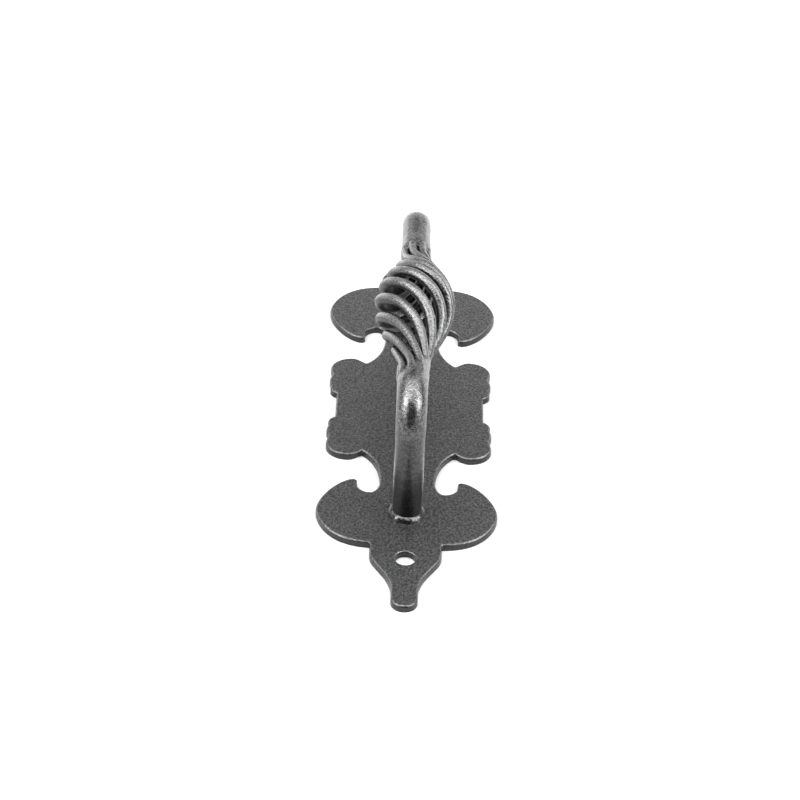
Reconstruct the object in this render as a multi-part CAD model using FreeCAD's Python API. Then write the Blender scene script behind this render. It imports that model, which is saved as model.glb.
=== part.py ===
import FreeCAD, Part
import math
import os

V = FreeCAD.Vector

# Pull handle on an ornamental backplate, in millimetres.
# X is the width, +Y runs up the door, +Z points away from the door.
# The origin is the middle of the backplate, on the face that lies on the door.

# Handle
foot_spacing = 141.0        # between the axes of the two legs
bar_dia = 12.0              # round bar of the legs
grip_height = 53.2          # plate's front face to the axis of the grip
bend_radius = 15.0          # centre line of each bend

# Basket of twisted rods in the middle of the grip
rod_count = 8
rod_dia = 4.4               # at the belly
rod_end_dia = 3.5           # where the rods are drawn out into the collars
rod_gap = 0.20              # between two rods where they lie side by side
basket_dia = 33.6           # over the rods at the belly
basket_length = 88.0        # between the two collars
basket_offset = -7.0        # middle of the basket, from the middle of the plate
basket_twist = 325.0        # degrees that each rod turns from collar to collar
twist_drift = 0.2           # share by which the turn is slower below the belly and quicker above it
first_rod_angle = -8.0      # of rod 1 at the lower collar, from the top towards +X
rod_ease = 8.0              # length over which a rod leaves the grip's direction
belly_power = 2.45          # higher is a shorter belly with longer, slimmer ends
belly_lean = -0.22          # below zero, the belly sits higher up the grip
thinning_power = 10         # higher keeps the rods at full size for longer
rod_sections = 32           # spans between the round sections that a rod is lofted through

# Welds
collar_length = 9.0         # of the swelling weld between bar and rods
collar_steps = 6            # round sections, less one, that a collar is lofted through
foot_weld_leg = 3.2         # of the fillet round each foot
foot_weld_sag = 0.7         # how far the fillet's face is hollow
weld_clearance = 0.02       # between the fillet's bore and the bar

# Backplate
plate_thickness = 3.0
edge_rounding = 0.9         # of the front edges
corner_rounding = 0.8       # of the sharp inner corners of the outline
end_reach = 57.5            # axis of a leg to the plate's end
end_ball_radius = 5.3
shoulder_width = 28.6       # over the straight part between a lobe and the end
shoulder_reach = 25.6       # axis of a leg out to where that part ends
lobe_reach = 19.8           # axis of a leg out to where the lobe leaves the shoulder
lobe_width = 73.2           # over the lobes, level with the leg
hook_reach = 20.6           # axis of a leg in to the hook's nose
hook_width = 41.0           # between the inner sides of the two hooks
hook_nose = 1.5             # radius of the hook's nose
waist_width = 22.7
notch_reach = 39.7          # axis of a leg in to the notch between waist and ear
ear_width = 69.0            # over the ears
scallop_reach = 49.0        # axis of a leg in to the first scallop
side_width = 62.6           # over the straight sides between the scallops
screw_hole_dia = 8.0
screw_hole_reach = 28.6     # axis of a leg to the screw hole
hole_rounding = 0.6

# Worked out from the sizes above
foot_y = foot_spacing / 2
grip_z = plate_thickness + grip_height
upright_length = grip_height - bend_radius
bend_length = bend_radius * math.pi / 2
basket_start = basket_offset - basket_length / 2
basket_end = basket_offset + basket_length / 2
bundle_radius = (rod_end_dia + rod_gap) / (2 * math.sin(math.pi / rod_count))
bundle_dia = 2 * bundle_radius + rod_end_dia
belly_radius = (basket_dia - rod_dia) / 2


def direction(heading):
    """Unit vector in the plate's plane, heading degrees from +X towards +Y."""
    return V(math.cos(math.radians(heading)), math.sin(math.radians(heading)), 0)


class Outline:
    """A pen that draws lines and smooth curves, each from where the last one ended."""

    def __init__(self, x, y, heading):
        self.at = V(x, y, 0)
        self.edges = []
        self.corners = []
        self.heading = direction(heading)

    def turn(self, heading):
        """Turn on the spot, which leaves a corner."""
        self.corners.append(self.at)
        self.heading = direction(heading)

    def line(self, x, y):
        end = V(x, y, 0)
        self.edges.append(Part.LineSegment(self.at, end).toShape())
        self.heading = (end - self.at).normalize()
        self.at = end

    def ahead(self, length):
        end = self.at + self.heading * length
        self.line(end.x, end.y)

    def curve(self, x, y, heading, leave=0.55, arrive=0.55):
        """Curve that arrives on a heading. Its poles stand on the way to where the two tangents meet."""
        before, after, end = self.heading, direction(heading), V(x, y, 0)
        gap = end - self.at
        across = before.x * after.y - before.y * after.x
        to_corner = (gap.x * after.y - gap.y * after.x) / across
        from_corner = (before.x * gap.y - before.y * gap.x) / across
        bezier = Part.BezierCurve()
        bezier.setPoles([self.at, self.at + before * (to_corner * leave),
                         end - after * (from_corner * arrive), end])
        self.edges.append(bezier.toShape())
        self.heading = after
        self.at = end


def quarter_outline():
    """One quarter of the plate's edge, from its upper end round to the middle of its right side."""
    end_y = foot_y + end_reach
    shoulder = shoulder_width / 2
    lobe = lobe_width / 2
    hook = hook_width / 2
    hook_y = foot_y - hook_reach
    waist = waist_width / 2
    notch_y = foot_y - notch_reach
    ear = ear_width / 2
    scallop_y = foot_y - scallop_reach
    side = side_width / 2

    # end ball, neck and the ogee down to the shoulder
    pen = Outline(0, end_y, 0)
    pen.curve(end_ball_radius, end_y - end_ball_radius, -90)
    pen.line(end_ball_radius, end_y - 10.1)
    pen.curve(shoulder - 5.6, foot_y + shoulder_reach + 11.6, -58)
    pen.ahead(7.9)
    pen.curve(shoulder, foot_y + shoulder_reach, -90)
    pen.line(shoulder, foot_y + lobe_reach)

    # lobe, round to the nose of its hook
    pen.turn(0)
    pen.curve(lobe, foot_y, -90, leave=0.78, arrive=0.25)
    pen.curve(hook + hook_nose, hook_y, -180, leave=0.45, arrive=0.35)
    pen.curve(hook, hook_y + hook_nose, -270)

    # inside of the hook, the comma-shaped cut and the waist
    pen.line(hook, hook_y + 3.6)
    pen.curve(waist + 3.7, hook_y + 8.2, 180)
    pen.curve(waist, hook_y + 1.5, -90, leave=0.42, arrive=0.55)
    pen.curve(waist + 8.1, notch_y, -40, leave=0.47, arrive=0.83)

    # ear, then two scallops, then the straight side
    pen.turn(50)
    pen.curve(ear - 9.2, notch_y + 3.5, 0)
    pen.curve(ear, scallop_y + 4.7, -90)
    pen.curve(ear - 1.0, scallop_y, -108)
    pen.turn(-55)
    pen.curve(ear - 0.9, scallop_y - 7.5, -125)
    pen.turn(-60)
    pen.curve(side, scallop_y - 13.3, -160)
    pen.turn(-90)
    pen.line(side, 0)
    return pen


def backplate():
    pen = quarter_outline()
    quarter = Part.Compound(pen.edges)
    half = Part.Compound([quarter, quarter.mirror(V(), V(1, 0, 0))])
    both = Part.Compound([half, half.mirror(V(), V(0, 1, 0))])
    wire = Part.Wire(Part.__sortEdges__(both.Edges))
    plate = Part.Face(wire).extrude(V(0, 0, plate_thickness))
    plate = plate.makeFillet(corner_rounding, [e for e in plate.Edges if stands_in_corner(e, pen.corners)])
    plate = plate.makeFillet(edge_rounding, front_edges(plate))
    for end in (-1, 1):
        hole_y = end * (foot_y + screw_hole_reach)
        hole = Part.makeCylinder(screw_hole_dia / 2, plate_thickness, V(0, hole_y, 0))
        plate = plate.cut(hole)
        rim_centre = V(0, hole_y, plate_thickness)
        rim = [e for e in front_edges(plate) if e.CenterOfMass.distanceToPoint(rim_centre) < 0.01]
        plate = plate.makeFillet(hole_rounding, rim)
    return plate.Solids[0]


def stands_in_corner(edge, corners):
    """True for an upright edge of the plate over one of the quarter's corners, or its mirror images."""
    box = edge.BoundBox
    foot = V(abs(box.Center.x), abs(box.Center.y), 0)
    return box.ZLength > plate_thickness / 2 and any(foot.distanceToPoint(c) < 0.01 for c in corners)


def front_edges(plate):
    return [e for e in plate.Edges if e.BoundBox.ZMin > plate_thickness - 0.001]


def bar_point(run):
    """Point of the lower bar's centre line, run millimetres up from its foot, and the bar's heading there."""
    turned = min(max(run - upright_length, 0), bend_length) / bend_radius
    rise = min(run, upright_length) + bend_radius * math.sin(turned)
    reach = bend_radius * (1 - math.cos(turned)) + max(run - upright_length - bend_length, 0)
    return V(0, reach - foot_y, plate_thickness + rise), V(0, math.sin(turned), math.cos(turned))


def bar_length(bundle_y):
    """From the foot to where the rods start."""
    return upright_length + bend_length + foot_y - bend_radius + bundle_y


def disc(centre, heading, diameter, seam=V(1, 0, 0)):
    """Round section square to a heading, with its seam where the direction given for it points."""
    circle = Part.Circle(centre, heading, diameter / 2)
    circle.XAxis = seam
    return Part.Wire(circle.toShape())


def lower_leg(bundle_y):
    """Round bar from the plate, through its bend, to the collar."""
    length = bar_length(bundle_y) - collar_length
    bend_end = min(length, upright_length + bend_length)
    foot, bend_in, bend_middle, bend_out, end = [
        bar_point(run)[0]
        for run in (0, upright_length, (upright_length + bend_end) / 2, bend_end, length)]
    edges = [Part.LineSegment(foot, bend_in).toShape(), Part.Arc(bend_in, bend_middle, bend_out).toShape()]
    if length > bend_end:
        edges.append(Part.LineSegment(bend_out, end).toShape())
    return Part.Wire(edges).makePipeShell([disc(foot, V(0, 0, 1), bar_dia)], True, False)


def lower_collar(bundle_y):
    """Swelling weld that takes the bar's diameter up to the bundle of rods."""
    discs = []
    for step in range(collar_steps + 1):
        share = step / collar_steps
        centre, heading = bar_point(bar_length(bundle_y) - collar_length * (1 - share))
        swell = share * share * (3 - 2 * share)
        discs.append(disc(centre, heading, bar_dia + (bundle_dia - bar_dia) * swell))
    return Part.makeLoft(discs, True)


def upper(shape):
    """The same piece at the other end of the handle."""
    return shape.mirror(V(), V(0, 1, 0))


def foot_weld(end):
    """Fillet ring with a slightly hollow face, standing on the plate round one foot."""
    bore = bar_dia / 2 + weld_clearance
    inner = V(bore, 0, plate_thickness)
    outer = V(bore + foot_weld_leg, 0, plate_thickness)
    top = V(bore, 0, plate_thickness + foot_weld_leg)
    hollow = foot_weld_leg / 2 - foot_weld_sag / math.sqrt(2)
    face = Part.Arc(outer, V(bore + hollow, 0, plate_thickness + hollow), top).toShape()
    section = Part.Wire([Part.LineSegment(inner, outer).toShape(), face,
                         Part.LineSegment(top, inner).toShape()])
    ring = Part.Face(section).revolve(V(), V(0, 0, 1), 360)
    ring.translate(V(0, end * foot_y, 0))
    return ring


def turned_share(share):
    """Share of its turn that a rod has made. The turn eases in and out at the collars."""
    ease = rod_ease / basket_length
    if share > 0.5:
        even = 1 - turned_evenly(1 - share, ease)
    else:
        even = turned_evenly(share, ease)
    return even - twist_drift * (1 - math.cos(2 * math.pi * even)) / (2 * math.pi)


def turned_evenly(share, ease):
    if share < ease:
        return share * share / (2 * ease * (1 - ease))
    return (share - ease / 2) / (1 - ease)


def rod_radius(share):
    """From the grip's axis to the middle of a rod, share of the way along the basket."""
    leaned = share + belly_lean * share * (1 - share)
    return bundle_radius + (belly_radius - bundle_radius) * math.sin(math.pi * leaned) ** belly_power


def rod_point(number, share):
    """Point of a rod's centre line, share of the way along the basket."""
    angle = math.radians(first_rod_angle + 360.0 * (number - 1) / rod_count - basket_twist * turned_share(share))
    radius = rod_radius(share)
    return V(radius * math.sin(angle), basket_start + basket_length * share, grip_z + radius * math.cos(angle))


def rod_heading(number, share):
    if share in (0, 1):
        return V(0, 1, 0)
    nudge = 0.1 / basket_length
    return (rod_point(number, share + nudge) - rod_point(number, share - nudge)).normalize()


def rod_thickness(share):
    """Full size in the belly. Nearer the collars the rods are drawn out, to lie side by side in the ring."""
    along = rod_heading(1, share).y
    room = 2 * rod_radius(share) * math.sin(math.pi / rod_count) * along - rod_gap
    return (rod_dia ** -thinning_power + room ** -thinning_power) ** (-1 / thinning_power)


def basket_rod(number):
    """Rod lofted through round sections that thin towards the collars. Its seam runs along without twisting."""
    discs = []
    seam = V(1, 0, 0)
    for step in range(rod_sections + 1):
        share = step / rod_sections
        heading = rod_heading(number, share)
        seam = (seam - heading * seam.dot(heading)).normalize()
        discs.append(disc(rod_point(number, share), heading, rod_thickness(share), seam))
    return Part.makeLoft(discs, True)


def save(shape, node):
    shape.exportStep("parts/" + node + ".step")
    print(node, shape.ShapeType, shape.isValid(), round(shape.Volume, 1))


os.makedirs("parts", exist_ok=True)
save(backplate(), "backplate")
save(lower_leg(basket_start), "lower_leg")
save(upper(lower_leg(-basket_end)), "upper_leg")
save(lower_collar(basket_start), "lower_collar")
save(upper(lower_collar(-basket_end)), "upper_collar")
save(foot_weld(-1), "lower_foot_weld")
save(foot_weld(1), "upper_foot_weld")
for number in range(1, rod_count + 1):
    save(basket_rod(number), f"basket_rod_{number}")
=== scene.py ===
import math

import bmesh
import bpy
from mathutils import Matrix, Vector, noise


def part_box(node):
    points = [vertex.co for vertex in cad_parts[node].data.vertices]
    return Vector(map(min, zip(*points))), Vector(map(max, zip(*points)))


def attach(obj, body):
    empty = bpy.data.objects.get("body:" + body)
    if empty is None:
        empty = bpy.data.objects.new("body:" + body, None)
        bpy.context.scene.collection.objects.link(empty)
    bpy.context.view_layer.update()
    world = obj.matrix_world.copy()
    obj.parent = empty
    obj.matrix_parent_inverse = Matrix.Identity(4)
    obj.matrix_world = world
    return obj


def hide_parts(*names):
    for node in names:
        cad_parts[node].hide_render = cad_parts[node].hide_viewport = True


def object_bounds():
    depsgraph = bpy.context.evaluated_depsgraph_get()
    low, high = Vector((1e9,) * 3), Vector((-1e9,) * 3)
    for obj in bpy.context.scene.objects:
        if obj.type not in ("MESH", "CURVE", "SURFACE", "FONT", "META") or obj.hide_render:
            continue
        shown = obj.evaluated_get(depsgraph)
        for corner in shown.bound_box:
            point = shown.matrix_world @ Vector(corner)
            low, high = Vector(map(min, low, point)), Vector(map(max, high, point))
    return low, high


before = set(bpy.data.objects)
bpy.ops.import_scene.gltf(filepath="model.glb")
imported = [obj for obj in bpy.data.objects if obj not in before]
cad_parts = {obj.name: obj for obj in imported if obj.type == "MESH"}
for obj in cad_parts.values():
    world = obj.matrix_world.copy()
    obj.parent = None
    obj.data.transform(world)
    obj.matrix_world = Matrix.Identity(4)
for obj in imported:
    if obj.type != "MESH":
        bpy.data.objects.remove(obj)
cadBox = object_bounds()

mm = 0.001
sharpAngle = 52    # degrees, past which an edge isn't smoothed over
unhammered = 0.62  # the level of the noise above which the hammer left no dent

# measured from the frame
rodNodes = sorted(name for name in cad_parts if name.startswith("basket_rod_"))
weldLow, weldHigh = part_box("lower_foot_weld")
collarLow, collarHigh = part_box("upper_collar")
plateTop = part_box("backplate")[1].z
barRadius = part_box("lower_leg")[1].x
footReach = -(weldLow.y + weldHigh.y) / 2  # from the middle of the plate to a leg's axis
gripHeight = (collarLow.z + collarHigh.z) / 2  # of the grip's axis
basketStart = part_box("lower_collar")[1].y
basketEnd = collarLow.y
bellyReach = max(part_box(node)[1].z for node in rodNodes) - gripHeight


def addNode(tree, kind, settings=None, inputs=None):
    node = tree.nodes.new(kind)
    for name, value in (settings or {}).items():
        setattr(node, name, value)
    for key, value in (inputs or {}).items():
        if isinstance(value, Value):
            value = value.socket
        if isinstance(value, bpy.types.NodeSocket):
            tree.links.new(value, node.inputs[key])
        else:
            node.inputs[key].default_value = value
    return node


class Value:  # a number that a tree works out, so that formulas read as formulas
    def __init__(self, tree, socket):
        self.tree, self.socket = tree, socket

    def math(self, operation, *others):
        node = addNode(self.tree, "ShaderNodeMath", {"operation": operation},
                       dict(enumerate((self, *others))))
        return Value(self.tree, node.outputs[0])

    def __add__(self, other): return self.math("ADD", other)
    def __radd__(self, other): return self.math("ADD", other)
    def __sub__(self, other): return self.math("SUBTRACT", other)
    def __rsub__(self, other): return (self * -1).math("ADD", other)
    def __mul__(self, other): return self.math("MULTIPLY", other)
    def __rmul__(self, other): return self.math("MULTIPLY", other)
    def __truediv__(self, other): return self.math("DIVIDE", other)
    def __rtruediv__(self, other): return (self ** -1) * other
    def __pow__(self, other): return self.math("POWER", other)
    def sin(self): return self.math("SINE")
    def cos(self): return self.math("COSINE")
    def atMost(self, other): return self.math("MINIMUM", other)
    def atLeast(self, other): return self.math("MAXIMUM", other)
    def below(self, other): return self.math("LESS_THAN", other)

    def ramp(self, low, high, outLow=0.0, outHigh=1.0):  # eased, and held at both ends
        node = addNode(self.tree, "ShaderNodeMapRange", {"interpolation_type": "SMOOTHSTEP"},
                       {0: self, 1: low, 2: high, 3: outLow, 4: outHigh})
        return Value(self.tree, node.outputs[0])


def parts(tree, vector):
    node = addNode(tree, "ShaderNodeSeparateXYZ", inputs={0: vector})
    return [Value(tree, out) for out in node.outputs]


def point(tree, x, y, z):
    return addNode(tree, "ShaderNodeCombineXYZ", inputs={0: x, 1: y, 2: z}).outputs[0]


def vectorMath(tree, operation, *vectors):
    return addNode(tree, "ShaderNodeVectorMath", {"operation": operation}, dict(enumerate(vectors)))


def plus(tree, one, other):
    return vectorMath(tree, "ADD", one, other).outputs[0]


def scaled(tree, vector, factor):
    node = addNode(tree, "ShaderNodeVectorMath", {"operation": "SCALE"}, {0: vector, "Scale": factor})
    return node.outputs[0]


def noiseField(tree, vector, size, detail=2.0, roughness=0.5):
    node = addNode(tree, "ShaderNodeTexNoise",
                   inputs={"Vector": vector, "Scale": 1 / size, "Detail": detail, "Roughness": roughness})
    return Value(tree, node.outputs["Fac"])


def startTree(name, sizes):  # one named input for each size
    tree = bpy.data.node_groups.new(name, "GeometryNodeTree")
    tree.interface.new_socket(name="Geometry", in_out="INPUT", socket_type="NodeSocketGeometry")
    for size, value in sizes.items():
        kind = "NodeSocketInt" if isinstance(value, int) else "NodeSocketFloat"
        tree.interface.new_socket(name=size, in_out="INPUT", socket_type=kind)
    tree.interface.new_socket(name="finish", in_out="INPUT", socket_type="NodeSocketMaterial")
    tree.interface.new_socket(name="Geometry", in_out="OUTPUT", socket_type="NodeSocketGeometry")
    given = tree.nodes.new("NodeGroupInput")
    return tree, given, {size: Value(tree, given.outputs[size]) for size in sizes}


def endTree(tree, given, geometry):
    smooth = addNode(tree, "GeometryNodeSetShadeSmooth", inputs={"Geometry": geometry})
    angle = Value(tree, addNode(tree, "GeometryNodeInputMeshEdgeAngle").outputs[0])
    isSharp = (math.radians(sharpAngle) - angle).below(0.0)
    sharp = addNode(tree, "GeometryNodeSetShadeSmooth", {"domain": "EDGE"},
                    {"Geometry": smooth.outputs[0], "Selection": isSharp, "Shade Smooth": False})
    real = addNode(tree, "GeometryNodeRealizeInstances", inputs={0: sharp.outputs[0]})
    painted = addNode(tree, "GeometryNodeSetMaterial",
                      inputs={"Geometry": real.outputs[0], "Material": given.outputs["finish"]})
    addNode(tree, "NodeGroupOutput", inputs={0: painted.outputs[0]})


def growPiece(name, tree, sizes, finish, startMesh=None):  # runs the tree and keeps its mesh
    piece = bpy.data.objects.new(name, startMesh or bpy.data.meshes.new(name))
    bpy.context.scene.collection.objects.link(piece)
    modifier = piece.modifiers.new("shape", "NODES")
    modifier.node_group = tree
    given = {**sizes, "finish": finish}
    for item in tree.interface.items_tree:
        if item.in_out == "INPUT" and item.name in given:
            modifier[item.identifier] = given[item.name]
    ready = piece.evaluated_get(bpy.context.evaluated_depsgraph_get())
    mesh = bpy.data.meshes.new_from_object(ready)
    piece.modifiers.clear()
    piece.data = mesh
    mesh.name = name
    return piece


def addToObject(piece, *nodes):
    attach(piece, "root")
    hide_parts(*nodes)


cameraSettings = {  # metres and degrees, with the lens and sensor in mm
    "aim": Vector((-0.00417, 0.00887, 0.0)),
    "distance": 1.0671, "azimuth": -0.419, "elevation": 36.584, "roll": 2.647,
    "lens": 112.07, "sensor": 36.0, "nearest": 0.05, "furthest": 20,
}


def direction(azimuth, elevation):  # in degrees, azimuth from the front towards +X
    azimuth, elevation = math.radians(azimuth), math.radians(elevation)
    return Vector((math.sin(azimuth) * math.cos(elevation),
                   -math.cos(azimuth) * math.cos(elevation), math.sin(elevation)))


def makeCamera(s):
    back = direction(s["azimuth"], s["elevation"])
    azimuth, roll = math.radians(s["azimuth"]), math.radians(s["roll"])
    right = Vector((math.cos(azimuth), math.sin(azimuth), 0))
    up = back.cross(right)
    data = bpy.data.cameras.new("camera")
    data.lens, data.sensor_width = s["lens"], s["sensor"]
    data.clip_start, data.clip_end = s["nearest"], s["furthest"]
    camera = bpy.data.objects.new("camera", data)
    bpy.context.scene.collection.objects.link(camera)
    turn = Matrix((right * math.cos(roll) + up * math.sin(roll),
                   up * math.cos(roll) - right * math.sin(roll), back)).transposed()
    camera.matrix_world = Matrix.Translation(s["aim"] + back * s["distance"]) @ turn.to_4x4()
    bpy.context.scene.camera = camera


lightSettings = {  # soft boxes that face the middle of the plate: degrees, metres and watts
    "leftBox": {"azimuth": -70, "elevation": 38, "distance": 1.1, "width": 0.4, "height": 0.4,
                "power": 2.0},
    "rightBox": {"azimuth": 70, "elevation": 38, "distance": 1.1, "width": 0.4, "height": 0.4,
                 "power": 1.9},
    "topBox": {"azimuth": 0, "elevation": 84, "distance": 1.2, "width": 1.5, "height": 0.8,
               "power": 7},
    "backBox": {"azimuth": 180, "elevation": 24, "distance": 0.65, "width": 0.6, "height": 0.16,
                "power": 0.33},
    "backLeftBox": {"azimuth": -138, "elevation": 7, "distance": 1.2, "width": 0.6, "height": 0.4,
                    "power": 1.3},
    "backRightBox": {"azimuth": 138, "elevation": 7, "distance": 1.2, "width": 0.6, "height": 0.4,
                     "power": 1.3},
}


def makeLights(boxes):
    for name, s in boxes.items():
        away = direction(s["azimuth"], s["elevation"])
        data = bpy.data.lights.new(name, "AREA")
        data.shape, data.size, data.size_y = "RECTANGLE", s["width"], s["height"]
        data.energy = s["power"]
        light = bpy.data.objects.new(name, data)
        bpy.context.scene.collection.objects.link(light)
        light.location = away * s["distance"]
        light.rotation_mode = "QUATERNION"
        light.rotation_quaternion = away.to_track_quat("Z", "Y")
        light.visible_camera = False


roomSettings = {  # a patch fades from full strength to none between two angles from its middle
    "walls": 0.55,
    "glows": [  # white cloths over the lamps
        {"azimuth": 180, "elevation": 84, "full": 20, "none": 62, "strength": 1.6},
        {"azimuth": -70, "elevation": 38, "full": 12, "none": 30, "strength": 4.4},
        {"azimuth": 70, "elevation": 38, "full": 12, "none": 30, "strength": 3.8},
    ],
    "shades": [  # the unlit side of the studio behind the camera, and a grey wall at the back
        {"azimuth": 0, "elevation": 36.6, "full": 34, "none": 48, "strength": 0.99},
        {"azimuth": 180, "elevation": 42, "full": 10, "none": 28, "strength": 0.86},
    ],
}


def patch(tree, toward, s):  # a soft round area of the room, as seen from the plate
    middle = tuple(direction(s["azimuth"], s["elevation"]))
    facing = Value(tree, vectorMath(tree, "DOT_PRODUCT", toward, middle).outputs["Value"])
    rim, core = math.cos(math.radians(s["none"])), math.cos(math.radians(s["full"]))
    return facing.ramp(rim, core) * s["strength"]


def makeRoom(s):
    world = bpy.data.worlds.new("room")
    bpy.context.scene.world = world
    world.use_nodes = True
    tree = world.node_tree
    tree.nodes.clear()
    toward = addNode(tree, "ShaderNodeTexCoord").outputs["Generated"]
    level = s["walls"]
    for glow in s["glows"]:
        level = patch(tree, toward, glow) + level
    for shade in s["shades"]:
        level = (1 - patch(tree, toward, shade)) * level
    seen = Value(tree, addNode(tree, "ShaderNodeLightPath").outputs["Is Camera Ray"])
    level = level.atLeast(seen)  # the backdrop itself stays white
    shine = addNode(tree, "ShaderNodeBackground", inputs={"Strength": level})
    shine.inputs["Color"].default_value = (1, 1, 1, 1)
    addNode(tree, "ShaderNodeOutputWorld", inputs={0: shine.outputs[0]})


floorSettings = {"size": 6.0, "tone": 0.78, "roughness": 0.7, "gloss": 0.2, "drop": 0.02 * mm}


def makeFloor(s):
    half = s["size"] / 2
    corners = [(-half, -half, 0), (half, -half, 0), (half, half, 0), (-half, half, 0)]
    mesh = bpy.data.meshes.new("floor")
    mesh.from_pydata(corners, [], [(0, 1, 2, 3)])
    mesh.transform(Matrix.Translation((0, 0, cadBox[0].z - s["drop"])))
    floor = bpy.data.objects.new("floor", mesh)
    bpy.context.scene.collection.objects.link(floor)
    paper = bpy.data.materials.new("whitePaper")
    paper.use_nodes = True
    shader = paper.node_tree.nodes["Principled BSDF"]
    shader.inputs["Base Color"].default_value = (s["tone"], s["tone"], s["tone"], 1)
    shader.inputs["Roughness"].default_value = s["roughness"]
    shader.inputs["Specular IOR Level"].default_value = s["gloss"]
    mesh.materials.append(paper)


makeCamera(cameraSettings)
makeLights(lightSettings)
makeRoom(roomSettings)
makeFloor(floorSettings)
bpy.context.scene.view_settings.view_transform = "Standard"
print("camera, lights and floor are set")

# graphite paint, with rubbed bright edges, a painted highlight on the rods' tops, and painted shade on
# sides, undersides, hollows and inside the basket
paintSettings = {  # tones from 0, black, to 1, white
    # a lighter tone for rubbed edges and for the painted highlight on the rods' tops, and a near-black one
    # for painted shade
    "tone": 0.11, "mottleTone": 0.088, "fleckTone": 0.45, "wearAndHighlightTone": 0.34, "paintedShadeTone": 0.02,
    "blueness": 1.01, "metallic": 0.9,
    "grainTone": 0.8, "grainLift": 1.8,        # strength of the light grains, and how light they are
    "coarseTone": 0.75, "coarseDrop": 0.4,     # the same for the dark ones
    "fleckShare": 0.04,                        # of the cells that hold a metal flake
    "grainSize": 0.42, "coarseSize": 1.05, "mottleSize": 9.0, "peelSize": 2.4, "fleckSize": 0.34,  # in mm
    "grainDepth": 0.08 * mm, "coarseDepth": 0.14 * mm, "peelDepth": 0.04 * mm,
    "roughness": 0.33, "wearAndHighlightRoughness": 0.24,
    "roughSpread": 0.16, "mottleSpread": 0.1, "coarseSpread": 0.12, "paintedShadeRoughSpread": 0.10,
    "lacquer": 0.35, "lacquerRoughness": 0.16, "sheen": 0.0, "sheenRoughness": 0.3,
}
wearAndPaintedLight = {  # shares of the full effect
    "edges": 0.38, "edgePatch": 0.014,               # bright edges, and the size of their patches in metres
    # painted shade on upright sides, under the bar and the rods, inside the basket and near the feet, and a
    # painted highlight on the rods' tops
    "sides": 0.85, "belowBar": 0.75, "belowRods": 0.8, "insideBasket": 0.95,
    "foot": 0.35, "footHeight": 0.035, "barMost": 0.9,
    "rodTopHighlight": 0.5,
}


def mixTone(tree, share, one, other):
    node = addNode(tree, "ShaderNodeMix", {"data_type": "RGBA"}, {"Factor": share, 6: one, 7: other})
    return node.outputs[2]


def graphitePaint(name, s, wearAndHighlightWhere=None, paintedShadeWhere=None):
    def grey(tone):
        return (tone, tone, tone * s["blueness"], 1)

    material = bpy.data.materials.new(name)
    material.use_nodes = True
    tree = material.node_tree
    shader = tree.nodes["Principled BSDF"]
    here = addNode(tree, "ShaderNodeTexCoord")
    inMm = addNode(tree, "ShaderNodeMapping",
                   inputs={"Vector": here.outputs["Object"], "Scale": (1 / mm, 1 / mm, 1 / mm)})
    place = inMm.outputs[0]
    grain = noiseField(tree, place, s["grainSize"], 2.0, 0.6)
    coarse = noiseField(tree, place, s["coarseSize"], 1.0)
    mottle = noiseField(tree, place, s["mottleSize"], 3.0)
    peel = noiseField(tree, place, s["peelSize"], 1.0)
    cells = addNode(tree, "ShaderNodeTexVoronoi", inputs={"Vector": place, "Scale": 1 / s["fleckSize"]})
    lot = parts(tree, cells.outputs["Color"])[0]
    near = Value(tree, cells.outputs["Distance"])
    fleck = lot.below(s["fleckShare"]) * near.ramp(0.25, 0.45, 1.0, 0.0)

    # colour and roughness of clean paint
    tone = mixTone(tree, mottle.ramp(0.35, 0.65), grey(s["tone"]), grey(s["mottleTone"]))
    tone = mixTone(tree, grain.ramp(0.35, 0.7, 0.0, s["grainTone"]), tone, grey(s["tone"] * s["grainLift"]))
    tone = mixTone(tree, coarse.ramp(0.35, 0.6, s["coarseTone"], 0.0), tone,
                   grey(s["tone"] * s["coarseDrop"]))
    tone = mixTone(tree, fleck, tone, grey(s["fleckTone"]))
    rough = s["roughness"] + s["roughSpread"] * (grain - 0.5) + s["mottleSpread"] * (mottle - 0.5)
    rough = rough + s["coarseSpread"] * (coarse - 0.5)

    # rubbed bright edges and the painted highlight on the rods' tops, then painted shade
    if wearAndHighlightWhere:
        wearAndHighlight = wearAndHighlightWhere(tree, here) * grain.ramp(0.3, 0.6, 0.35, 1.0)
        tone = mixTone(tree, wearAndHighlight, tone, grey(s["wearAndHighlightTone"]))
        rough = wearAndHighlight.ramp(0.0, 1.0) * (s["wearAndHighlightRoughness"] - rough) + rough
    # painted shade: a near-black tone wherever the mask says
    if paintedShadeWhere:
        paintedShade = paintedShadeWhere(tree, here)
        tone = mixTone(tree, paintedShade, tone, grey(s["paintedShadeTone"]))
        rough = rough + paintedShade * s["paintedShadeRoughSpread"]

    height = grain * s["grainDepth"] + coarse * s["coarseDepth"] + peel * s["peelDepth"]
    bump = addNode(tree, "ShaderNodeBump", inputs={"Strength": 1.0, "Distance": 1.0, "Height": height})
    tree.links.new(tone, shader.inputs["Base Color"])
    tree.links.new(rough.socket, shader.inputs["Roughness"])
    tree.links.new(bump.outputs[0], shader.inputs["Normal"])
    tree.links.new(bump.outputs[0], shader.inputs["Coat Normal"])
    shader.inputs["Metallic"].default_value = s["metallic"]
    shader.inputs["Coat Weight"].default_value = s["lacquer"]
    shader.inputs["Coat Roughness"].default_value = s["lacquerRoughness"]
    shader.inputs["Sheen Weight"].default_value = s["sheen"]
    shader.inputs["Sheen Roughness"].default_value = s["sheenRoughness"]
    return material


def facingUp(tree, here):  # 1 on level faces, 0 on upright ones, -1 underneath
    return parts(tree, here.outputs["Normal"])[2]


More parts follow.
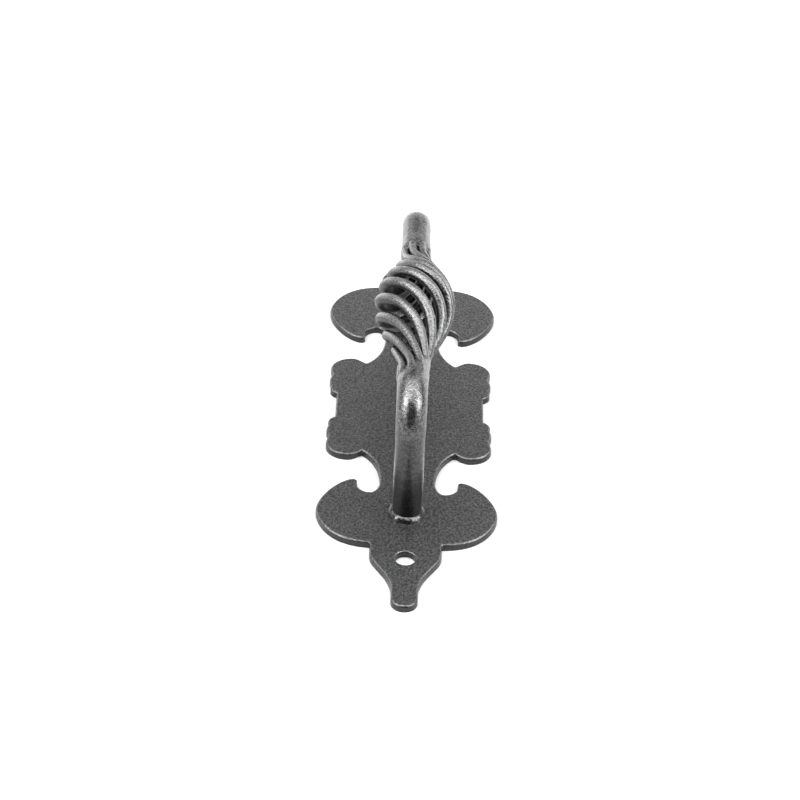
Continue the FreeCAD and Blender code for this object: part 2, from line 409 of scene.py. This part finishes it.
def wornEdges(tree, here):  # the rounding between the plate's face and its sides
    facing = facingUp(tree, here)
    rubbed = noiseField(tree, here.outputs["Object"], wearAndPaintedLight["edgePatch"]).ramp(0.45, 0.62, 0.1, 1.0)
    return facing.ramp(0.55, 0.85) * facing.ramp(0.9, 0.995, 1.0, 0.0) * rubbed * wearAndPaintedLight["edges"]


def shadeOnPlateSides(tree, here):  # painted shade: the plate's upright sides are darker
    return facingUp(tree, here).ramp(0.25, 0.75, wearAndPaintedLight["sides"], 0.0)


def shadeOnBar(tree, here):  # painted shade under the bar, near its foot and in the hollows of its neck
    height = parts(tree, here.outputs["Object"])[2]
    nearFoot = height.ramp(plateTop, plateTop + wearAndPaintedLight["footHeight"], wearAndPaintedLight["foot"], 0.0)
    hollow = Value(tree, addNode(tree, "ShaderNodeAttribute", {"attribute_name": "hollow"}).outputs["Fac"])
    below = facingUp(tree, here).ramp(-0.1, 0.55, wearAndPaintedLight["belowBar"], 0.0)
    return (below + nearFoot).atMost(wearAndPaintedLight["barMost"]).atLeast(hollow)


def highlightOnRodTops(tree, here):  # painted highlight on top of the rods, on the outside of the basket
    upward = facingUp(tree, here).ramp(0.1, 0.7)
    return facingOut(tree, here).ramp(0.6, 1.0) * upward * wearAndPaintedLight["rodTopHighlight"]


def shadeInsideBasket(tree, here):  # painted shade inside the basket and under the rods
    inside = facingOut(tree, here).ramp(-0.35, 0.45, wearAndPaintedLight["insideBasket"], 0.0)
    below = facingUp(tree, here).ramp(-0.1, 0.5, wearAndPaintedLight["belowRods"], 0.0)
    return inside.atLeast(below)


def facingOut(tree, here):  # 1 where a face looks straight away from the grip's axis
    x, y, z = parts(tree, here.outputs["Object"])
    away = vectorMath(tree, "NORMALIZE", point(tree, x, 0.0, z - gripHeight)).outputs[0]
    return Value(tree, vectorMath(tree, "DOT_PRODUCT", away, here.outputs["Normal"]).outputs["Value"])


# the plate carries painted shade on its upright sides, and rubbed bright edges
platePaint = graphitePaint("graphiteOnPlate", {
    **paintSettings, "tone": 0.100, "mottleTone": 0.080, "fleckShare": 0.06, "grainTone": 0.95,
    "roughness": 0.38}, wornEdges, shadeOnPlateSides)
# the rods carry a near-black painted shade inside and underneath, and a painted highlight on top
rodPaint = graphitePaint("graphiteOnRods", {
    **paintSettings, "tone": 0.128, "mottleTone": 0.104, "roughness": 0.25, "grainDepth": 0.09 * mm,
    "lacquer": 0.12, "paintedShadeTone": 0.006, "paintedShadeRoughSpread": 0.2}, highlightOnRodTops, shadeInsideBasket)
# the bars carry painted shade underneath, near the feet and in the neck's hollows
barPaint = graphitePaint("graphiteOnBar", {
    **paintSettings, "tone": 0.140, "mottleTone": 0.112, "roughness": 0.23, "lacquer": 0.25,
    "lacquerRoughness": 0.20, "sheen": 0.12, "coarseDepth": 0.06 * mm}, None, shadeOnBar)
beadPaint = graphitePaint("graphiteOnBeads", {
    **paintSettings, "tone": 0.075, "mottleTone": 0.060, "roughness": 0.2, "grainDepth": 0.02 * mm,
    "coarseDepth": 0.03 * mm})
for name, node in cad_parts.items():
    paint = platePaint if name == "backplate" else rodPaint if name in rodNodes else barPaint
    node.data.materials.clear()
    node.data.materials.append(paint)
print("paint is mixed")


# the basket's eight rods, each swept along its own twist
rodSettings = {  # sizes in metres, angles in degrees
    "turn": 325.0, "firstAngle": -8.0, "drift": 0.2, "ease": 0.008,
    "gap": 0.0002, "diameter": 0.0044, "collarDiameter": 0.0035,
    "bellyPower": 2.45, "bellyLean": -0.22, "thinning": 10.0,
    "hammerDepth": 0.00011, "hammerSize": 0.0045, "seedStep": 0.1,
    "rings": 190, "sides": 24,
}


def rodTree(sizes):
    tree, given, size = startTree("twistedRod", sizes)
    line = addNode(tree, "GeometryNodeCurvePrimitiveLine", inputs={"End": (0, 1, 0)})
    rings = addNode(tree, "GeometryNodeResampleCurve",
                    inputs={"Curve": line.outputs[0], "Count": size["rings"]})
    share = Value(tree, addNode(tree, "GeometryNodeSplineParameter").outputs["Factor"])

    # the turn eases in and out at the collars, and is quicker above the belly
    ease = size["ease"] / size["length"]
    fromEnd = share.atMost(1 - share)
    easing = fromEnd.below(ease)
    eased = fromEnd * fromEnd / (2 * ease * (1 - ease))
    steady = (fromEnd - ease / 2) / (1 - ease)
    even = easing * eased + (1 - easing) * steady
    pastMiddle = 1 - share.below(0.5)
    even = pastMiddle * (1 - 2 * even) + even
    turned = even - size["drift"] * (1 - (even * (2 * math.pi)).cos()) / (2 * math.pi)
    angle = (size["firstAngle"] - size["turn"] * turned) * (math.pi / 180)
    leaned = share + size["bellyLean"] * share * (1 - share)
    bulge = (leaned * math.pi).sin().atLeast(0.0) ** size["bellyPower"]
    radius = size["collarRadius"] + (size["bellyRadius"] - size["collarRadius"]) * bulge
    route = point(tree, radius * angle.sin(), size["start"] + size["length"] * share,
                  size["height"] + radius * angle.cos())
    bent = addNode(tree, "GeometryNodeSetPosition",
                   inputs={"Geometry": rings.outputs[0], "Position": route})

    # towards the collars a rod is drawn out, to fit beside its neighbours
    heading = parts(tree, addNode(tree, "GeometryNodeInputTangent").outputs[0])[1]
    room = 2 * radius * (math.pi / size["count"]).sin() * heading - size["gap"]
    power = size["thinning"] * -1
    thick = (size["diameter"] ** power + room ** power) ** (-1 / size["thinning"])
    circle = addNode(tree, "GeometryNodeCurvePrimitiveCircle",
                     inputs={"Resolution": size["sides"], "Radius": 0.5})
    swept = addNode(tree, "GeometryNodeCurveToMesh",
                    inputs={"Curve": bent.outputs[0], "Profile Curve": circle.outputs[0],
                            "Scale": thick, "Fill Caps": True})
    hammered = hammer(tree, swept.outputs[0], size["hammerSize"], size["hammerDepth"], size["seed"])
    endTree(tree, given, hammered)
    return tree


def hammer(tree, geometry, size, depth, seed):
    where = addNode(tree, "GeometryNodeInputPosition").outputs[0]
    normal = addNode(tree, "GeometryNodeInputNormal").outputs[0]
    shifted = plus(tree, where, point(tree, seed, seed, seed))
    offset = scaled(tree, normal, dents(tree, shifted, size, depth))
    moved = addNode(tree, "GeometryNodeSetPosition", inputs={"Geometry": geometry, "Offset": offset})
    return moved.outputs[0]


def dents(tree, where, size, depth):  # below zero where the hammer fell
    return (noiseField(tree, where, size, 1.0) - unhammered).atMost(0.0) * 2 * depth


def makeRods(s):
    count = len(rodNodes)
    sizes = {**s, "start": basketStart, "length": basketEnd - basketStart, "height": gripHeight,
             "collarRadius": (s["collarDiameter"] + s["gap"]) / (2 * math.sin(math.pi / count)),
             "bellyRadius": bellyReach - s["diameter"] / 2, "count": count, "seed": 0.0}
    del sizes["collarDiameter"], sizes["seedStep"]  # the tree doesn't need these
    tree = rodTree(sizes)
    rods = []
    for place, node in enumerate(rodNodes):
        own = {"firstAngle": s["firstAngle"] + 360 * place / count, "seed": s["seedStep"] * (place + 1)}
        rod = growPiece(f"twisted_rod_{place + 1}", tree, {**sizes, **own}, rodPaint)
        addToObject(rod, node)
        rods.append(rod)
    return rods


# legs, and the necks where the rods are welded to them
barSettings = {  # sizes in metres
    "bendRadius": 0.015, "bendSwell": 0.0002,
    "collarLength": 0.009,                        # of the stretch where the bar swells to the rods
    "neckRadius": 0.00645, "neckGrowth": 0.0021, "neckGrowthLength": 0.015, "neckGrowthPower": 1.8,
    "plugRadius": 0.0027, "plugLength": 0.016, "plugTaper": 0.6,  # of the weld deep between the rods
    "weldSlope": 0.0016, "leastFill": 0.0006, "blendWidth": 0.0006,
    "ridgeDepth": 0.0012, "ridgeLength": 0.006,   # how the skin rises over each rod
    "ridgeProud": 0.00006, "ridgeSink": 0.0002, "ridgeSinkLength": 0.0014,
    "hollowDepth": 0.001, "hollowShadeStrength": 0.97,     # how deep a hollow is before its painted shade is full, and how strong that shade is
    "slowSize": 0.020, "slowDepth": 0.00016, "hammerSize": 0.006, "hammerDepth": 0.00012,
    "lumpSize": 0.0024, "lumpDepth": 0.00007, "lumpLength": 0.006,
    "watch": 0.011, "watchStart": 0.0004,         # how far out the rods are looked for, and from where
}
barMeshes = {"leg": {"rings": 150, "sides": 96}, "neck": {"rings": 150, "sides": 216}}
neckSettings = {  # where the weld between the rods ends, in metres from the rods' ends, and its direction
    "lower": {"end": -1.0, "fillEnd": 0.0055, "fillSlant": 0.008, "fillSide": 110.0,
              "valleyDepth": 0.0009, "valleyLength": 0.007, "plugEnd": 0.016},
    "upper": {"end": 1.0, "fillEnd": 0.0026, "fillSlant": 0.0012, "fillSide": 200.0,
              "valleyDepth": 0.0007, "valleyLength": 0.005, "plugEnd": 0.008},
}


def barTree(sizes):
    tree, given, size = startTree("forgedBar", sizes)
    grid = addNode(tree, "GeometryNodeMeshGrid",
                   inputs={"Vertices X": size["rings"], "Vertices Y": size["sides"] + 1})
    across = parts(tree, addNode(tree, "GeometryNodeInputPosition").outputs[0])
    ring = ((across[0] + 0.5) * (size["rings"] - 1)).math("ROUND")
    closed = ring.below(0.5) + (size["rings"] - 1.5).below(ring)  # the end rings, shrunk to points
    share = ((ring - 1) / (size["rings"] - 3)).atMost(1.0).atLeast(0.0)
    around = (across[1] + 0.5) * (2 * math.pi)

    # the bar's own line: up from the foot, round the bend and level into the basket
    upright = size["height"] - size["base"] - size["bendRadius"]
    bendLength = size["bendRadius"] * (math.pi / 2)
    run = size["from"] + (size["to"] - size["from"]) * share
    inBend = (run - upright).atLeast(0.0).atMost(bendLength)
    turned = inBend / size["bendRadius"]
    rise = run.atMost(upright) + size["bendRadius"] * turned.sin()
    reach = size["bendRadius"] * (1 - turned.cos()) + (run - upright - bendLength).atLeast(0.0)
    centre = point(tree, 0.0, size["end"] * (size["footReach"] - reach), size["base"] + rise)
    outward = point(tree, around.sin(), size["end"] * turned.cos() * around.cos(),
                    turned.sin() * around.cos())
    along = run - size["rodsRun"]  # from the rods' ends, into the basket

    # how far out the rods stand, found by looking in at them from outside
    lookAt = size["end"] * (size["rodsStart"] - along.atLeast(size["watchStart"]))
    eye = plus(tree, point(tree, 0.0, lookAt, size["height"]),
               scaled(tree, point(tree, around.sin(), 0.0, around.cos()), size["watch"]))
    inwardLook = point(tree, around.sin() * -1, 0.0, around.cos() * -1)
    look = addNode(tree, "GeometryNodeRaycast",
                   inputs={"Target Geometry": given.outputs["Geometry"], "Source Position": eye,
                           "Ray Direction": inwardLook, "Ray Length": size["watch"]})
    hit = Value(tree, look.outputs["Is Hit"])
    rodReach = hit * (size["watch"] - Value(tree, look.outputs["Hit Distance"]))

    # the weld fills the valleys between the rods up to a slanting end, and falls off behind it
    fillEnd = size["fillEnd"] + size["fillSlant"] * (around - size["fillSide"] * (math.pi / 180)).cos()
    fillEnd = fillEnd.atLeast(size["leastFill"])
    swell = (along / size["collarLength"]).ramp(-1.0, 0.0)
    growth = (along / size["neckGrowthLength"]).atLeast(0.0) ** size["neckGrowthPower"]
    body = size["radius"] + (size["neckRadius"] - size["radius"]) * swell + size["neckGrowth"] * growth
    bodyEnd = along - fillEnd
    fill = body - size["valleyDepth"] * (bodyEnd / size["valleyLength"]).ramp(-1.0, 0.0)
    risen = (along / size["ridgeLength"]).ramp(-1.0, -0.05)
    sunk = (along / size["ridgeSinkLength"]).ramp(0.1, 1.0)  # past the rods' ends the skin slips under them
    ridge = rodReach - (1 - risen) * size["ridgeDepth"] + size["ridgeProud"] - size["ridgeSink"] * sunk
    skin = fill.math("SMOOTH_MAX", ridge, size["blendWidth"])
    fallen = (bodyEnd / size["weldSlope"]).ramp(0.0, 1.0)
    plug = size["plugRadius"] * (1 - size["plugTaper"] * (along / size["plugLength"]).atMost(1.0))
    skin = skin + fallen * (plug - skin)

    # unevenness of the forging and the weld
    where = plus(tree, centre, scaled(tree, outward, size["radius"]))
    slow = noiseField(tree, where, size["slowSize"], 0.0) - 0.5
    lump = noiseField(tree, where, size["lumpSize"], 1.0) - 0.5
    lumpy = (along / size["lumpLength"]).ramp(-1.0, 0.0)
    skin = skin + slow * 2 * size["slowDepth"] + lump * 2 * size["lumpDepth"] * lumpy
    skin = skin + dents(tree, where, size["hammerSize"], size["hammerDepth"])
    skin = skin + size["bendSwell"] * turned.sin() * (1 - swell)
    skin = skin * (1 - closed)
    place = plus(tree, centre, scaled(tree, outward, skin))
    # painted shade for the hollows between the rods, stored for the bar's paint
    depth = (body - skin) / size["hollowDepth"]
    hollow = addNode(tree, "GeometryNodeStoreNamedAttribute", {"data_type": "FLOAT", "domain": "POINT"},
                     {"Geometry": grid.outputs["Mesh"], "Name": "hollow",
                      "Value": depth.ramp(0.25, 1.1, 0.0, size["hollowShadeStrength"])})
    shaped = addNode(tree, "GeometryNodeSetPosition",
                     inputs={"Geometry": hollow.outputs[0], "Position": place})
    merged = addNode(tree, "GeometryNodeMergeByDistance",
                     inputs={"Geometry": shaped.outputs[0], "Distance": 2e-6})
    turnedOut = addNode(tree, "GeometryNodeFlipFaces",
                        inputs={"Mesh": merged.outputs[0], "Selection": size["end"].below(0.0)})
    endTree(tree, given, turnedOut.outputs[0])
    return tree


def makeBars(s, rods):
    joined = joinedMesh(rods)
    upright = gripHeight - plateTop - s["bendRadius"]
    pieces = []
    for side, neck in neckSettings.items():
        rodsStart = -basketStart if side == "lower" else basketEnd
        rodsRun = upright + s["bendRadius"] * (math.pi / 2 - 1) + footReach - rodsStart
        collarRun = rodsRun - s["collarLength"]
        shared = {**s, **neck, "footReach": footReach, "base": plateTop, "height": gripHeight,
                  "radius": barRadius, "rodsStart": rodsStart, "rodsRun": rodsRun}
        del shared["plugEnd"]
        pieces.append((f"{side}_bar", f"{side}_leg", {
            **shared, "from": 0.0, "to": collarRun, **barMeshes["leg"]}))
        pieces.append((f"{side}_neck", f"{side}_collar", {
            **shared, "from": collarRun, "to": rodsRun + neck["plugEnd"], **barMeshes["neck"]}))
    tree = barTree(pieces[0][2])
    for name, node, sizes in pieces:
        addToObject(growPiece(name, tree, sizes, barPaint, joined), node)
    bpy.data.meshes.remove(joined)


# weld beads round the feet
beadSettings = {  # sizes in metres, angles in degrees from +X
    "leg": 0.0018, "swell": 0.00035, "sink": 0.0003,
    "lumpDepth": 0.00013, "lumpSize": 0.0015, "reachSpread": 0.14, "reachWaves": 2.5, "footSeed": 100,
    "spurLength": 0.0036, "spurWidth": 1.9, "spurFall": 4, "spurSide": {"lower": 152.0, "upper": -40.0},
    "around": 200, "across": 14,
}


def makeBeads(s):
    for side, end in (("lower", -1), ("upper", 1)):
        rings = [beadSection(s, side, end, 2 * math.pi * step / s["around"]) for step in range(s["around"])]
        points = [p for ring in rings for p in ring]
        count = len(rings[0])
        faces = []
        for ring in range(len(rings)):
            after = (ring + 1) % len(rings)
            for k in range(count):
                other = (k + 1) % count
                faces.append((ring * count + k, after * count + k,
                              after * count + other, ring * count + other))
        mesh = bpy.data.meshes.new(f"{side}_foot_bead")
        mesh.from_pydata(points, [], faces)
        tidyMesh(mesh)
        mesh.materials.append(beadPaint)
        bead = bpy.data.objects.new(mesh.name, mesh)
        bpy.context.scene.collection.objects.link(bead)
        addToObject(bead, f"{side}_foot_weld")


def beadSection(s, side, end, turned):  # from the bore out along the plate, then back up the face
    bore = barRadius - s["sink"]
    axis = Vector((0, end * footReach, plateTop))
    out = Vector((math.cos(turned), math.sin(turned), 0))
    spread = noise.noise(axis * s["footSeed"] + out * s["reachWaves"]) * s["reachSpread"]
    leg = s["leg"] * (1 + spread) + s["sink"]
    away = (math.degrees(turned) - s["spurSide"][side] + 180) % 360 - 180
    spur = s["spurLength"] * math.exp(-(away / s["spurWidth"]) ** 2)
    section = [axis + out * bore - Vector((0, 0, s["sink"]))]
    for step in range(s["across"] + 1):
        climb = step / s["across"]
        reach = bore + leg * (1 - climb) + spur * (1 - climb) ** s["spurFall"]
        rise = leg * climb
        spot = axis + out * reach + Vector((0, 0, rise))
        lump = noise.noise(spot / s["lumpSize"]) * s["lumpDepth"] + s["swell"]
        edge = math.sin(math.pi * climb)
        section.append(spot + (out + Vector((0, 0, 1))).normalized() * lump * edge)
    return section


def tidyMesh(mesh):
    work = bmesh.new()
    work.from_mesh(mesh)
    bmesh.ops.remove_doubles(work, verts=work.verts, dist=1e-7)
    bmesh.ops.recalc_face_normals(work, faces=work.faces)
    for face in work.faces:
        face.smooth = True
    work.to_mesh(mesh)
    work.free()


def joinedMesh(pieces):
    work = bmesh.new()
    for piece in pieces:
        work.from_mesh(piece.data)
    mesh = bpy.data.meshes.new("joined")
    work.to_mesh(mesh)
    work.free()
    return mesh


rods = makeRods(rodSettings)
print("the basket's rods are swept")
makeBars(barSettings, rods)
print("legs and necks are forged")
makeBeads(beadSettings)
print("feet are welded")
